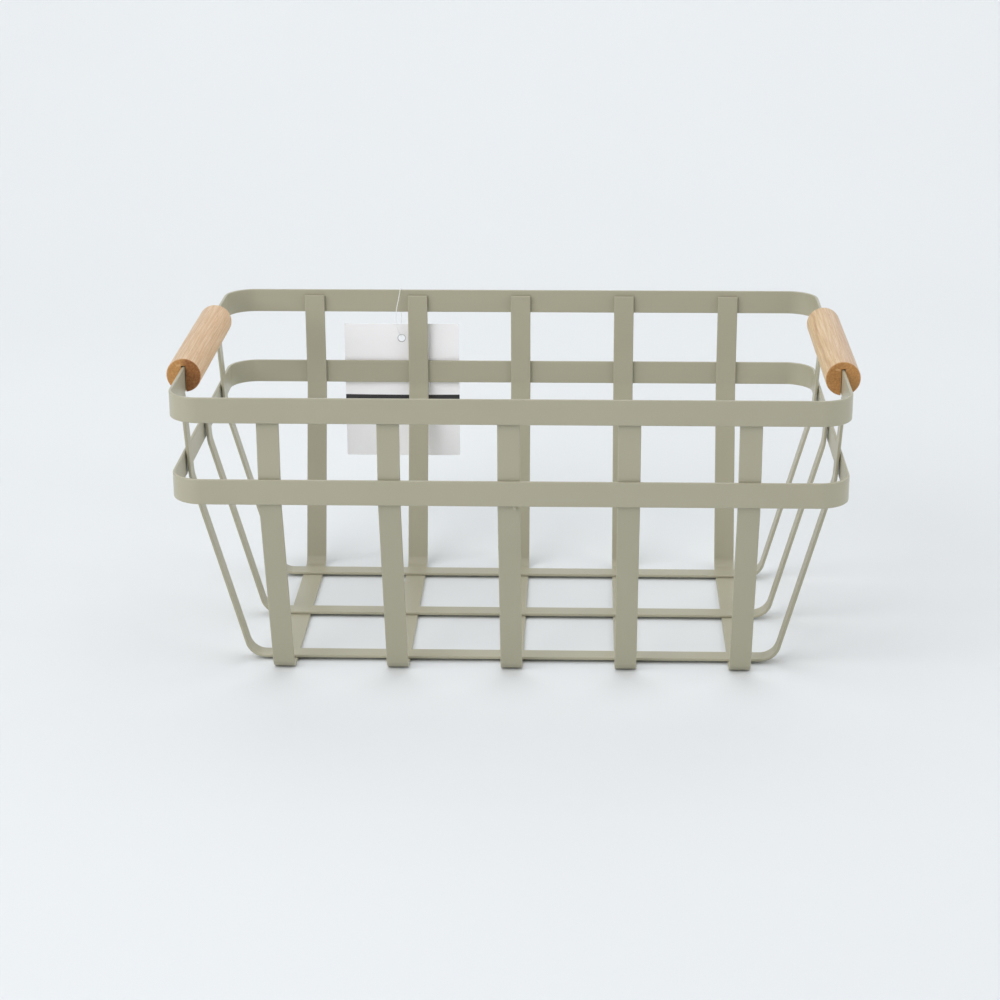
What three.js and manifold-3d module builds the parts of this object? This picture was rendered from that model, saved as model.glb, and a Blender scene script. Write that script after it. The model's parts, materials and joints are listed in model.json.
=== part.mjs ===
// Storage basket of painted flat steel strip with two slotted wooden dowel handles and a hang tag.
// Millimetres, +Z up, front towards -Y. The origin is on the table, under the middle of the basket.
import * as THREE from 'three';
import { mergeVertices } from 'three/addons/utils/BufferGeometryUtils.js';
import Module from 'manifold-3d';

const wasm = await Module();
wasm.setup();

// Steel strip: rolled flat, with its long edges broken
const STRIP_THICKNESS = 1.5;
const EDGE_BREAK = 0.3;

// Rim and lower band: a strip on edge each, bent to the same rounded rectangle
const RIM_LENGTH = 330;
const RIM_WIDTH = 216;
const RIM_CORNER_RADIUS = 16;
const RIM_TOP = 153.5;
const BAND_HEIGHT = 12.7;
const MID_BAND_TOP = 112.3;

// Base, measured where the outer faces of a wall and of the base would meet
const BASE_LENGTH = 270;
const BASE_WIDTH = 152;

// Cross strips: from the front wall under the base and up the back wall
const CROSS_COUNT = 5;
const CROSS_WIDTH = 11;
const CROSS_BASE_RADIUS = 7.5;
const CROSS_END_MARGIN = 5.6;
const CROSS_END_DROP = 3;

// Lengthwise strips: from one end wall over the cross strips and up the other end wall. The middle one ends
// at the lower band, and the outer two end under the rim's lower edge
const LONG_WIDTH = 9.5;
const LONG_BASE_RADIUS = 10.5;
const LONG_SIDE_MARGIN = 5.7;
const MIDDLE_END_DROP = 1;

// Both sets of strips lean inwards below the lower band, and stand a weld's height off the bands' inner faces
const WALL_BEND_DROP = 1.1;
const WALL_BEND_RADIUS = 20;
const WELD_HEIGHT = 0.4;

// Handles: dowels with a slot sawn from below, pushed down over the ends of the rim
const HANDLE_DIAMETER = 17.5;
const HANDLE_EDGE_RADIUS = 0.8;
const HANDLE_END_GAP = 1.2;
const HANDLE_ROOF = 3.8;
const SLOT_HEADROOM = 0.6;
const SLOT_SIDE_GAP = 0.3;

// Hang tag: a card on a springy nylon loop, behind the back wall
const CARD_WIDTH = 65;
const CARD_HEIGHT = 78;
const CARD_THICKNESS = 0.5;
const CARD_DROP = 20.2;
const CARD_WALL_GAP = 0.5;
const CARD_HOLE_DIAMETER = 4;
const CARD_HOLE_DROP = 8.3;
const LOOP_DIAMETER = 0.45;
const LOOP_KNOT_DIAMETER = 1.8;
const LOOP_BESIDE_STRIP = 2;
const LOOP_STRIP_GAP = 4.1;
const LOOP_STEPS = 60;

// Route of the loop behind the back rim, from its knot over the rim and through the card's hole to the knot.
// Each point is [along the rim, outwards, up] from the middle of the rim's top edge.
const LOOP_ROUTE = [
  [0.0, 3.3, -22.0],
  [0.0, 3.6, -19.0],
  [0.0, 3.7, -14.0],
  [0.0, 3.4, -9.0],
  [0.0, 2.8, -4.5],
  [0.0, 2.1, -1.6],
  [0.0, 1.3, 0.35],
  [0.0, 0.0, 1.0],
  [-0.1, -1.35, 0.3],
  [-0.4, -2.4, -1.6],
  [-1.0, -4.1, -4.8],
  [-1.8, -6.3, -8.6],
  [-2.2, -7.6, -12.8],
  [-2.1, -7.3, -17.0],
  [-1.6, -5.9, -21.0],
  [-0.9, -3.8, -24.4],
  [-0.3, -1.3, -26.5],
  [0.0, 1.0, -27.15],
  [0.0, 2.7, -26.4],
  [0.0, 3.4, -24.8],
  [0.0, 3.4, -23.2],
];

// Colours seen on the real pieces
const PAINT_COLOUR = 0xa6a28a;
const WOOD_COLOUR = 0xd8b88f;
const CARD_COLOUR = 0xf4f4f2;
const NYLON_COLOUR = 0xf0f2f4;

const paint = () => new THREE.MeshStandardMaterial({ color: PAINT_COLOUR, roughness: 0.55, metalness: 0 });
const wood = () => new THREE.MeshStandardMaterial({ color: WOOD_COLOUR, roughness: 0.6, metalness: 0 });
const card = () => new THREE.MeshStandardMaterial({ color: CARD_COLOUR, roughness: 0.7, metalness: 0 });
const nylon = () => new THREE.MeshStandardMaterial({ color: NYLON_COLOUR, roughness: 0.35, metalness: 0 });

const ARC_SEGMENTS = 5;
const CORNER_SEGMENTS = 6;
const DOWEL_SEGMENTS = 40;

// Places that follow from the sizes above
const RIM_BOTTOM = RIM_TOP - BAND_HEIGHT;
const MID_BAND_BOTTOM = MID_BAND_TOP - BAND_HEIGHT;
const WALL_BEND_HEIGHT = MID_BAND_BOTTOM - WALL_BEND_DROP;
const CROSS_WALL_HALF = RIM_WIDTH / 2 - STRIP_THICKNESS - WELD_HEIGHT;

// The end walls lean out from inside the lower band's top edge to flush with the rim at its lower edge
const END_LEAN = (STRIP_THICKNESS + WELD_HEIGHT) / (RIM_BOTTOM - MID_BAND_TOP);

// Distance from the middle of the basket to the outer face of an end wall, above its bend
function endWallHalf(height) {
  return RIM_LENGTH / 2 - END_LEAN * (RIM_BOTTOM - height);
}

// Distance from a base corner to the end of the flat base, for a wall that leans out from it
function bendReach(baseHalf, wallHalf, rise, radius) {
  const turn = Math.atan2(rise, wallHalf - baseHalf);
  return radius * Math.tan(turn / 2);
}

const CROSS_FLAT_HALF = BASE_WIDTH / 2
  - bendReach(BASE_WIDTH / 2, CROSS_WALL_HALF, WALL_BEND_HEIGHT, CROSS_BASE_RADIUS);
const LONG_FLAT_HALF = BASE_LENGTH / 2 - bendReach(
  BASE_LENGTH / 2, endWallHalf(WALL_BEND_HEIGHT), WALL_BEND_HEIGHT - STRIP_THICKNESS, LONG_BASE_RADIUS);
const LONG_PITCH = CROSS_FLAT_HALF - LONG_SIDE_MARGIN - LONG_WIDTH / 2;
const CROSS_SPREAD = LONG_FLAT_HALF - CROSS_END_MARGIN - CROSS_WIDTH / 2;
const CROSS_PITCH = 2 * CROSS_SPREAD / (CROSS_COUNT - 1);

// Adds a straight run and then a bend to an outline, between the points before and after a corner
function addBend(outline, before, corner, after, radius) {
  const back = before.clone().sub(corner).normalize();
  const ahead = after.clone().sub(corner).normalize();
  const halfAngle = Math.acos(back.dot(ahead)) / 2;
  const reach = radius / Math.tan(halfAngle);
  const centre = back.clone().add(ahead).normalize().multiplyScalar(radius / Math.sin(halfAngle)).add(corner);
  const start = back.clone().multiplyScalar(reach).add(corner).sub(centre);
  const end = ahead.clone().multiplyScalar(reach).add(corner).sub(centre);
  const clockwise = back.cross(ahead) > 0;
  outline.absarc(centre.x, centre.y, radius, start.angle(), end.angle(), clockwise);
}

// The same run of straight lines, moved sideways to its left
function offsetLine(points, distance) {
  const normals = points.slice(1).map((point, i) => {
    const run = point.clone().sub(points[i]).normalize();
    return new THREE.Vector2(-run.y, run.x);
  });
  return points.map((point, i) => {
    const first = normals[Math.max(i - 1, 0)];
    const second = normals[Math.min(i, normals.length - 1)];
    const mitre = first.clone().add(second).divideScalar(1 + first.dot(second));
    return point.clone().addScaledVector(mitre, distance);
  });
}

// Side view of a strip bent up at both ends: its outer face runs down one wall, along the base and up again.
// The right side is given as [distance from the middle, height] at the base corner, the bend and the top
function bentStripOutline(base, bend, top, baseRadius) {
  const rightSide = [base, bend, top].map((place) => new THREE.Vector2(...place));
  const leftSide = rightSide.map((point) => new THREE.Vector2(-point.x, point.y)).reverse();
  const outer = [...leftSide, ...rightSide];
  const inner = offsetLine(outer, STRIP_THICKNESS).reverse();
  const radii = [0, WALL_BEND_RADIUS, baseRadius, baseRadius, WALL_BEND_RADIUS, 0];
  const outline = new THREE.Shape();
  outline.moveTo(inner.at(-1).x, inner.at(-1).y);
  for (const [face, inset] of [[outer, 0], [inner, -STRIP_THICKNESS]]) {
    face.forEach((point, i) => {
      if (radii[i] > 0) {
        addBend(outline, face[i - 1], point, face[i + 1], radii[i] + inset);
      } else {
        outline.lineTo(point.x, point.y);
      }
    });
  }
  return outline;
}

// A flat outline given a width, with its two long edges broken, centred on its own plane
function extrudeWithBrokenEdges(outline, width, curveSegments) {
  const geometry = new THREE.ExtrudeGeometry(outline, {
    depth: width - 2 * EDGE_BREAK,
    curveSegments,
    bevelEnabled: true,
    bevelSize: EDGE_BREAK,
    bevelOffset: -EDGE_BREAK,
    bevelThickness: EDGE_BREAK,
    bevelSegments: 1,
  });
  return geometry.translate(0, 0, EDGE_BREAK - width / 2);
}

const AXIS_X = new THREE.Vector3(1, 0, 0);
const AXIS_Y = new THREE.Vector3(0, 1, 0);
const AXIS_Z = new THREE.Vector3(0, 0, 1);
const SIDE_VIEW_TO_CROSS = new THREE.Matrix4().makeBasis(AXIS_Y, AXIS_Z, AXIS_X);
const SIDE_VIEW_TO_LONG = new THREE.Matrix4().makeBasis(AXIS_X, AXIS_Z, AXIS_Y.clone().negate());

function namedMesh(name, geometry, material) {
  const mesh = new THREE.Mesh(geometry, material);
  mesh.name = name;
  return mesh;
}

function roundedRectangle(outline, length, width, radius) {
  const x = length / 2 - radius;
  const y = width / 2 - radius;
  outline.absarc(x, y, radius, 0, Math.PI / 2, false);
  outline.absarc(-x, y, radius, Math.PI / 2, Math.PI, false);
  outline.absarc(-x, -y, radius, Math.PI, 1.5 * Math.PI, false);
  outline.absarc(x, -y, radius, 1.5 * Math.PI, 2 * Math.PI, false);
  outline.closePath();
  return outline;
}

// Rim or lower band, hung below its top edge
function band(name, top) {
  const inset = 2 * STRIP_THICKNESS;
  const outline = roundedRectangle(new THREE.Shape(), RIM_LENGTH, RIM_WIDTH, RIM_CORNER_RADIUS);
  const inside = roundedRectangle(
    new THREE.Path(), RIM_LENGTH - inset, RIM_WIDTH - inset, RIM_CORNER_RADIUS - STRIP_THICKNESS);
  outline.holes.push(inside);
  const mesh = namedMesh(name, extrudeWithBrokenEdges(outline, BAND_HEIGHT, CORNER_SEGMENTS), paint());
  mesh.position.z = top - BAND_HEIGHT / 2;
  return mesh;
}

// Cross strips are counted from the left
function crossStripPlace(number) {
  return (number - 1) * CROSS_PITCH - CROSS_SPREAD;
}

function crossStrip(number) {
  const bend = [CROSS_WALL_HALF, WALL_BEND_HEIGHT];
  const top = [CROSS_WALL_HALF, RIM_TOP - CROSS_END_DROP];
  const outline = bentStripOutline([BASE_WIDTH / 2, 0], bend, top, CROSS_BASE_RADIUS);
  const geometry = extrudeWithBrokenEdges(outline, CROSS_WIDTH, ARC_SEGMENTS);
  geometry.applyMatrix4(SIDE_VIEW_TO_CROSS);
  const mesh = namedMesh(`cross_strip_${number}`, geometry, paint());
  mesh.position.x = crossStripPlace(number);
  return mesh;
}

// The ends are cut square, so the inner edge of a leaning end is its highest place
function longStrip(name, place, highest) {
  const topHeight = highest - STRIP_THICKNESS * END_LEAN;
  const bend = [endWallHalf(WALL_BEND_HEIGHT), WALL_BEND_HEIGHT];
  const top = [endWallHalf(topHeight), topHeight];
  const outline = bentStripOutline([BASE_LENGTH / 2, STRIP_THICKNESS], bend, top, LONG_BASE_RADIUS);
  const geometry = extrudeWithBrokenEdges(outline, LONG_WIDTH, ARC_SEGMENTS);
  geometry.applyMatrix4(SIDE_VIEW_TO_LONG);
  const mesh = namedMesh(name, geometry, paint());
  mesh.position.y = place;
  return mesh;
}

// Solid for cutting and joining, from a closed geometry whose shared corners are merged
function toSolid(geometry) {
  const bare = geometry.clone();
  bare.deleteAttribute('normal');
  bare.deleteAttribute('uv');
  const merged = mergeVertices(bare, 1e-4);
  const corners = merged.index.array;
  const triVerts = [];
  for (let i = 0; i < corners.length; i += 3) {
    const [a, b, c] = corners.subarray(i, i + 3);
    if (a !== b && b !== c && c !== a) {
      triVerts.push(a, b, c);
    }
  }
  return new wasm.Manifold(new wasm.Mesh({
    numProp: 3,
    vertProperties: new Float32Array(merged.attributes.position.array),
    triVerts: new Uint32Array(triVerts),
  }));
}

function toGeometry(solid) {
  const mesh = solid.getMesh();
  const geometry = new THREE.BufferGeometry();
  geometry.setAttribute('position', new THREE.BufferAttribute(mesh.vertProperties, 3));
  geometry.setIndex(new THREE.BufferAttribute(mesh.triVerts, 1));
  geometry.computeVertexNormals();
  return geometry;
}

// Turned dowel with eased ends along Y, with a slot from below for the rim
function slottedDowel(length) {
  const radius = HANDLE_DIAMETER / 2;
  const shoulder = radius - HANDLE_EDGE_RADIUS;
  const straight = length / 2 - HANDLE_EDGE_RADIUS;
  const profile = new THREE.Path();
  profile.moveTo(0, -length / 2);
  profile.lineTo(shoulder, -length / 2);
  profile.absarc(shoulder, -straight, HANDLE_EDGE_RADIUS, -Math.PI / 2, 0, false);
  profile.absarc(shoulder, straight, HANDLE_EDGE_RADIUS, 0, Math.PI / 2, false);
  profile.lineTo(0, length / 2);
  const dowel = toSolid(new THREE.LatheGeometry(profile.getPoints(2), DOWEL_SEGMENTS));
  const slotWidth = STRIP_THICKNESS + 2 * SLOT_SIDE_GAP;
  const slotHeight = HANDLE_DIAMETER;
  const slot = new THREE.BoxGeometry(slotWidth, length + HANDLE_DIAMETER, slotHeight);
  slot.translate(0, 0, radius - HANDLE_ROOF - slotHeight / 2);
  return toGeometry(dowel.subtract(toSolid(slot)));
}

// A handle fills the end of the rim between the outer lengthwise strips
function handle(name, side) {
  const length = 2 * (LONG_PITCH - LONG_WIDTH / 2 - HANDLE_END_GAP);
  const mesh = namedMesh(name, slottedDowel(length), wood());
  const top = RIM_TOP + SLOT_HEADROOM + HANDLE_ROOF;
  mesh.position.set(side * (RIM_LENGTH - STRIP_THICKNESS) / 2, 0, top - HANDLE_DIAMETER / 2);
  return mesh;
}

function tagCard() {
  const outline = new THREE.Shape([
    new THREE.Vector2(-CARD_WIDTH / 2, -CARD_HEIGHT),
    new THREE.Vector2(CARD_WIDTH / 2, -CARD_HEIGHT),
    new THREE.Vector2(CARD_WIDTH / 2, 0),
    new THREE.Vector2(-CARD_WIDTH / 2, 0),
  ]);
  const hole = new THREE.Path();
  hole.absarc(0, -CARD_HOLE_DROP, CARD_HOLE_DIAMETER / 2, 0, 2 * Math.PI, true);
  outline.holes.push(hole);
  const geometry = new THREE.ExtrudeGeometry(outline, {
    depth: CARD_THICKNESS,
    curveSegments: CORNER_SEGMENTS,
    bevelEnabled: false,
  });
  return namedMesh('hang_tag', geometry.applyMatrix4(SIDE_VIEW_TO_LONG), card());
}

// Nylon loop closed by a knot
function tagLoop() {
  const route = new THREE.CatmullRomCurve3(LOOP_ROUTE.map((point) => new THREE.Vector3(...point)));
  const section = new THREE.Shape();
  section.absarc(0, 0, LOOP_DIAMETER / 2, 0, 2 * Math.PI, false);
  const thread = new THREE.ExtrudeGeometry(section, {
    steps: LOOP_STEPS,
    extrudePath: route,
    curveSegments: 4,
  });
  const knot = new THREE.SphereGeometry(LOOP_KNOT_DIAMETER / 2, 10, 8);
  const ends = new THREE.Vector3().addVectors(route.getPoint(0), route.getPoint(1)).divideScalar(2);
  knot.translate(ends.x, ends.y, ends.z);
  return namedMesh('tag_loop', toGeometry(toSolid(thread).add(toSolid(knot))), nylon());
}

// The tag and its loop hang together from the middle of the back rim's top edge
function hangTag() {
  const tag = new THREE.Group();
  const besideStrip = crossStripPlace(LOOP_BESIDE_STRIP);
  const alongRim = besideStrip - CROSS_WIDTH / 2 - LOOP_STRIP_GAP;
  tag.position.set(alongRim, (RIM_WIDTH - STRIP_THICKNESS) / 2, RIM_TOP);
  const sheet = tagCard();
  sheet.position.set(0, STRIP_THICKNESS / 2 + CARD_WALL_GAP + CARD_THICKNESS, -CARD_DROP);
  tag.add(sheet, tagLoop());
  return tag;
}

const basket = new THREE.Group();
basket.add(band('top_rim', RIM_TOP));
basket.add(band('mid_band', MID_BAND_TOP));
for (let number = 1; number <= CROSS_COUNT; number += 1) {
  basket.add(crossStrip(number));
}
basket.add(longStrip('long_strip_front', -LONG_PITCH, RIM_BOTTOM));
basket.add(longStrip('long_strip_middle', 0, MID_BAND_TOP - MIDDLE_END_DROP));
basket.add(longStrip('long_strip_back', LONG_PITCH, RIM_BOTTOM));
basket.add(handle('handle_left', -1));
basket.add(handle('handle_right', 1));
basket.add(hangTag());

export default basket;
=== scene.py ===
"""Looks of a storage basket of painted flat steel strip with wooden dowel handles and a hang tag.

Metres, +Z up, front towards -Y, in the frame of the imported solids.
"""

import json
import logging
import math
from abc import ABC, abstractmethod
from dataclasses import dataclass
from enum import Enum
from typing import ClassVar

import bmesh
import bpy
from bpy.types import Material, Node, NodeSocket as Socket, NodeTree as Tree
from mathutils import Matrix, Vector, noise


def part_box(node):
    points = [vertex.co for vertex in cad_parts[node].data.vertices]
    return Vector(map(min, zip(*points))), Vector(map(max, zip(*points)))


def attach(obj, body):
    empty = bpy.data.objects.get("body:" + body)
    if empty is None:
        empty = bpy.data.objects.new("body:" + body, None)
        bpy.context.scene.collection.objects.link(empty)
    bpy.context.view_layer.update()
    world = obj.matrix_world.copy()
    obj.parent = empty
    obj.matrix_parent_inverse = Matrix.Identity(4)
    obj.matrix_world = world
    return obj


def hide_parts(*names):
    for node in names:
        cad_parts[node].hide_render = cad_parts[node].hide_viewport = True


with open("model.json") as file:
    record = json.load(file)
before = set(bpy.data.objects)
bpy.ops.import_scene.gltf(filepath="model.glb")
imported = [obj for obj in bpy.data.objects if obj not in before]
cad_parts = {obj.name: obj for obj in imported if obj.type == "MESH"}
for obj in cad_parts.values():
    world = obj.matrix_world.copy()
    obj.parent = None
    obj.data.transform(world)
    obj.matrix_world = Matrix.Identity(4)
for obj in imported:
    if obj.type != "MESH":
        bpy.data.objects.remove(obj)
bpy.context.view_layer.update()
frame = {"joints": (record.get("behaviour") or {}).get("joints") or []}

MM = 0.001
LOG = logging.getLogger("basket")

RIGHT = Vector((1, 0, 0)).freeze()
BACK = Vector((0, 1, 0)).freeze()
UP = Vector((0, 0, 1)).freeze()
FULL_TURN = 2 * math.pi
QUARTER_TURN = math.pi / 2

# Edges that turn further than this stay crisp
SHARP_ANGLE = math.radians(40)

# Strips stand this far off the bands' inner faces, on their welds
WELD_HEIGHT = 0.4 * MM

Colour = tuple[float, float, float, float]
Inputs = dict[str | int, object]
Rings = list[list[Vector]]


class Body(Enum):
    """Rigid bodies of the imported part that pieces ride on."""

    BASKET = "basket"
    TAG = "tag"


class Slot(Enum):
    """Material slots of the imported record."""

    STEEL = "painted_steel"
    WOOD = "handle_wood"
    CARD = "tag_card"
    THREAD = "tag_thread"


class Side(Enum):
    """Opposite sides of the basket, with the sign of their place."""

    LEFT = -1
    RIGHT = 1


def linear(hex_colour: str) -> Colour:
    """Turns an sRGB hex colour into linear light.

    Args:
        hex_colour: colour as #RRGGBB.

    Returns:
        Red, green, blue and an alpha of 1.
    """
    shares = [int(hex_colour[i:i + 2], 16) / 255 for i in (1, 3, 5)]
    light = [s / 12.92 if s <= 0.04045 else ((s + 0.055) / 1.055) ** 2.4 for s in shares]
    return (light[0], light[1], light[2], 1.0)


def per_mm(size_mm: float) -> float:
    """Gives the pattern scale, in repeats per metre, for features of a size in millimetres."""
    return 1 / (size_mm * MM)


def add_node(tree: Tree, kind: str, inputs: Inputs, **settings: object) -> Node:
    """Adds a shader node with its settings and links.

    Args:
        tree: the material's or world's nodes.
        kind: Blender's name for the node type, without ShaderNode.
        inputs: socket name or number to a value, or to the output or node that feeds it. A node feeds
            it from its first output in use.
        settings: properties of the node itself.

    Returns:
        The new node.
    """
    node = tree.nodes.new(f"ShaderNode{kind}")
    for name, value in settings.items():
        setattr(node, name, value)
    for key, value in inputs.items():
        if isinstance(value, Node):
            value = next(output for output in value.outputs if output.enabled)
        if isinstance(value, Socket):
            tree.links.new(value, node.inputs[key])
        else:
            node.inputs[key].default_value = value
    return node


@dataclass(frozen=True)
class Tint:
    """A colour that comes in over another as a pattern goes from one level to a second, higher or lower."""

    colour: str
    start: float = 0.0
    full: float = 1.0
    share: float = 1.0

    def over(self, tree: Tree, base: Colour | Node, pattern: Node | Socket) -> tuple[Node, Node]:
        """Lays the colour over another.

        Args:
            tree: the material's nodes.
            base: the colour below.
            pattern: what leads the colour in.

        Returns:
            The new colour, and the tint's share in it.
        """
        share = add_node(tree, "MapRange", {
            "Value": pattern, "From Min": self.start, "From Max": self.full, "To Max": self.share})
        mixed = add_node(tree, "Mix", {
            "Factor": share, "A": base, "B": linear(self.colour)}, data_type="RGBA")
        return mixed, share


@dataclass(frozen=True)
class Grain:
    """Soft marks in wood, by their width, their length along the dowel and how finely they break up."""

    width_mm: float
    length_mm: float
    detail: float
    roughness: float = 0.6

    def pattern(self, tree: Tree, place: Socket) -> Node:
        """Adds the marks as a solid pattern, so that streaks along the barrel show as dots at the ends.

        Args:
            tree: the material's nodes.
            place: the place in the wood.

        Returns:
            The pattern's level, about a half on average.
        """
        stretched = add_node(tree, "VectorMath", {
            0: place, 1: (per_mm(self.width_mm), per_mm(self.length_mm), per_mm(self.width_mm))},
            operation="MULTIPLY")
        return add_node(tree, "TexNoise", {
            "Vector": stretched, "Scale": 1.0, "Detail": self.detail, "Roughness": self.roughness})


class Finish(ABC):
    """A real material and how its surface was made, drawn by one shader."""

    name: str

    @abstractmethod
    def inputs(self, tree: Tree, place: Socket) -> Inputs:
        """Draws the patterns that feed the shader.

        Args:
            tree: the material's nodes.
            place: the place on the piece.

        Returns:
            The shader's inputs.
        """

    def build(self) -> Material:
        """Makes the material.

        Returns:
            The material, with its shader and patterns.
        """
        material = bpy.data.materials.new(self.name)
        material.use_nodes = True
        tree = material.node_tree
        tree.nodes.clear()
        place = add_node(tree, "TexCoord", {}).outputs["Object"]
        shader = add_node(tree, "BsdfPrincipled", self.inputs(tree, place))
        add_node(tree, "OutputMaterial", {"Surface": shader})
        return material


@dataclass(frozen=True)
class PowderCoat(Finish):
    """Powder coated mild steel: dry powder baked on, which flows out to a satin skin.

    The eye sees one warm grey all over, with a soft sheen that a faint orange peel breaks up.
    """

    name: str = "powder_coated_steel_satin"
    colour: str = "#AAA68F"
    cloud: Tint = Tint("#A4A089")
    cloud_mm: float = 45.0
    peel_mm: float = 1.4
    peel_height_mm: float = 0.01
    roughness_low: float = 0.3
    roughness_high: float = 0.4
    index: float = 1.5

    def inputs(self, tree: Tree, place: Socket) -> Inputs:
        """Draws a slow drift of tone and a fine peel.

        Args:
            tree: the material's nodes.
            place: the place on the strip.

        Returns:
            The shader's inputs.
        """
        clouds = add_node(tree, "TexNoise", {
            "Vector": place, "Scale": per_mm(self.cloud_mm), "Detail": 3.0, "Roughness": 0.55})
        tone, _ = self.cloud.over(tree, linear(self.colour), clouds)
        # The real peel is finer than a pixel, so it is drawn coarser to show in the sheen
        peel = add_node(tree, "TexNoise", {
            "Vector": place, "Scale": per_mm(self.peel_mm), "Detail": 2.0, "Roughness": 0.6})
        relief = add_node(tree, "Bump", {
            "Height": peel, "Distance": self.peel_height_mm * MM, "Strength": 1.0})
        sheen = add_node(tree, "MapRange", {
            "Value": peel, "To Min": self.roughness_low, "To Max": self.roughness_high})
        return {"Base Color": tone, "Roughness": sheen, "Normal": relief, "IOR": self.index}


@dataclass(frozen=True)
class BeechDowel(Finish):
    """Beech, turned to a dowel, sanded and clear coated.

    The eye sees matt rosy straw with hair-fine lengthwise streaks, short brown flecks and one wandering
    growth line. The sawn ends are golden brown, because their open grain drank the finish, and pale
    splinters show beside the slot.
    """

    name: str
    axis_x: float
    axis_z: float
    end_y: float
    left_painted_light_tone: str
    right_painted_light_tone: str
    line_x_mm: float
    line_share: float
    end_shares: tuple[float, float]
    splinter_place_mm: tuple[float, float]

    # Real pores are a tenth of a millimetre wide, so streaks and flecks are drawn wide enough to show
    streaks: Grain = Grain(0.6, 30.0, 3.0)
    flecks: Grain = Grain(0.45, 4.5, 1.0)
    mottle: Grain = Grain(1.1, 1.1, 3.0)
    drift: Grain = Grain(9.0, 70.0, 2.0)
    bend: Grain = Grain(25.0, 28.0, 0.0)

    light_streak: Tint = Tint("#D8C2A3", 0.5, 0.36, 0.66)
    dark_streak: Tint = Tint("#B7936D", 0.5, 0.68, 0.66)
    brown_fleck: Tint = Tint("#9C7250", 0.62, 0.76, 0.5)
    splinter: Tint = Tint("#D2A66E", 1.0, 0.5, 0.7)
    line_colour: str = "#A87B4C"
    end_light: str = "#C49253"
    end_dark: Tint = Tint("#875123")
    drift_wander_mm: float = 9.0
    drift_half_mm: float = 5.0
    line_wander_mm: float = 2.4
    line_half_mm: float = 0.9
    end_split_half_mm: float = 1.5
    end_facing: tuple[float, float] = (0.5, 0.9)
    speckle: float = 1.3
    splinter_mm: tuple[float, float, float] = (1.7, 3.0, 0.8)
    relief_mm: float = 0.035
    roughness_low: float = 0.42
    roughness_high: float = 0.58
    index: float = 1.5

    def inputs(self, tree: Tree, place: Socket) -> Inputs:
        """Draws the turned surface, the sawn ends and the splinters.

        Args:
            tree: the material's nodes.
            place: the place in the wood.

        Returns:
            The shader's inputs.
        """
        from_axis = add_node(tree, "VectorMath", {
            0: place, 1: (self.axis_x, 0.0, self.axis_z)}, operation="SUBTRACT")
        across = add_node(tree, "SeparateXYZ", {"Vector": from_axis}).outputs["X"]
        streaks = self.streaks.pattern(tree, place)
        speckle = add_node(tree, "Math", {
            0: self.mottle.pattern(tree, place), 1: self.speckle, 2: -self.speckle / 2},
            operation="MULTIPLY_ADD")
        barrel, pores = self._barrel(tree, place, across, streaks)
        sawn = self._sawn_end(tree, across, speckle)
        normal = add_node(tree, "NewGeometry", {}).outputs["True Normal"]
        facing = add_node(tree, "SeparateXYZ", {"Vector": normal}).outputs["Y"]
        facing = add_node(tree, "Math", {0: facing}, operation="ABSOLUTE")
        side_on, end_on = self.end_facing
        end_share = add_node(tree, "MapRange", {"Value": facing, "From Min": side_on, "From Max": end_on})
        colour = add_node(tree, "Mix", {"Factor": end_share, "A": barrel, "B": sawn}, data_type="RGBA")
        colour = self._splintered(tree, colour, from_axis, speckle)
        gloss = add_node(tree, "MapRange", {
            "Value": streaks, "To Min": self.roughness_low, "To Max": self.roughness_high})
        relief = add_node(tree, "Bump", {
            "Height": pores, "Distance": self.relief_mm * MM, "Strength": 1.0}, invert=True)
        return {"Base Color": colour, "Roughness": gloss, "Normal": relief, "IOR": self.index}

    def _barrel(self, tree: Tree, place: Socket, across: Socket, streaks: Node) -> tuple[Node, Node]:
        """Colours the turned surface.

        Args:
            tree: the material's nodes.
            place: the place in the wood.
            across: how far to the right of the dowel's axis that is.
            streaks: the pattern of lengthwise streaks.

        Returns:
            The colour, and how open the grain is.
        """
        # Painted light: the dowel's side towards the basket is painted lighter and warmer and its outer side
        # greyer, for how the light and the backdrop's reflection fall on them, with a wandering border
        # between
        border = add_node(tree, "Math", {
            0: self.drift.pattern(tree, place), 1: self.drift_wander_mm * MM,
            2: -self.drift_wander_mm / 2 * MM}, operation="MULTIPLY_ADD")
        side = add_node(tree, "Math", {0: across, 1: border}, operation="ADD")
        painted_side_light = Tint(self.right_painted_light_tone, -self.drift_half_mm * MM, self.drift_half_mm * MM)
        colour, _ = painted_side_light.over(tree, linear(self.left_painted_light_tone), side)
        colour, _ = self.light_streak.over(tree, colour, streaks)
        colour, streak_share = self.dark_streak.over(tree, colour, streaks)
        # The growth line is a sheet through the wood that wanders slowly along it
        sheet = add_node(tree, "Math", {
            0: self.bend.pattern(tree, place), 1: self.line_wander_mm * MM,
            2: (self.line_x_mm - self.line_wander_mm / 2) * MM}, operation="MULTIPLY_ADD")
        off_line = add_node(tree, "Math", {0: across, 1: sheet}, operation="SUBTRACT")
        off_line = add_node(tree, "Math", {0: off_line}, operation="ABSOLUTE")
        growth_line = Tint(self.line_colour, self.line_half_mm * MM, 0.0, self.line_share)
        colour, _ = growth_line.over(tree, colour, off_line)
        colour, fleck_share = self.brown_fleck.over(tree, colour, self.flecks.pattern(tree, place))
        return colour, add_node(tree, "Math", {0: streak_share, 1: fleck_share}, operation="ADD")

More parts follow.
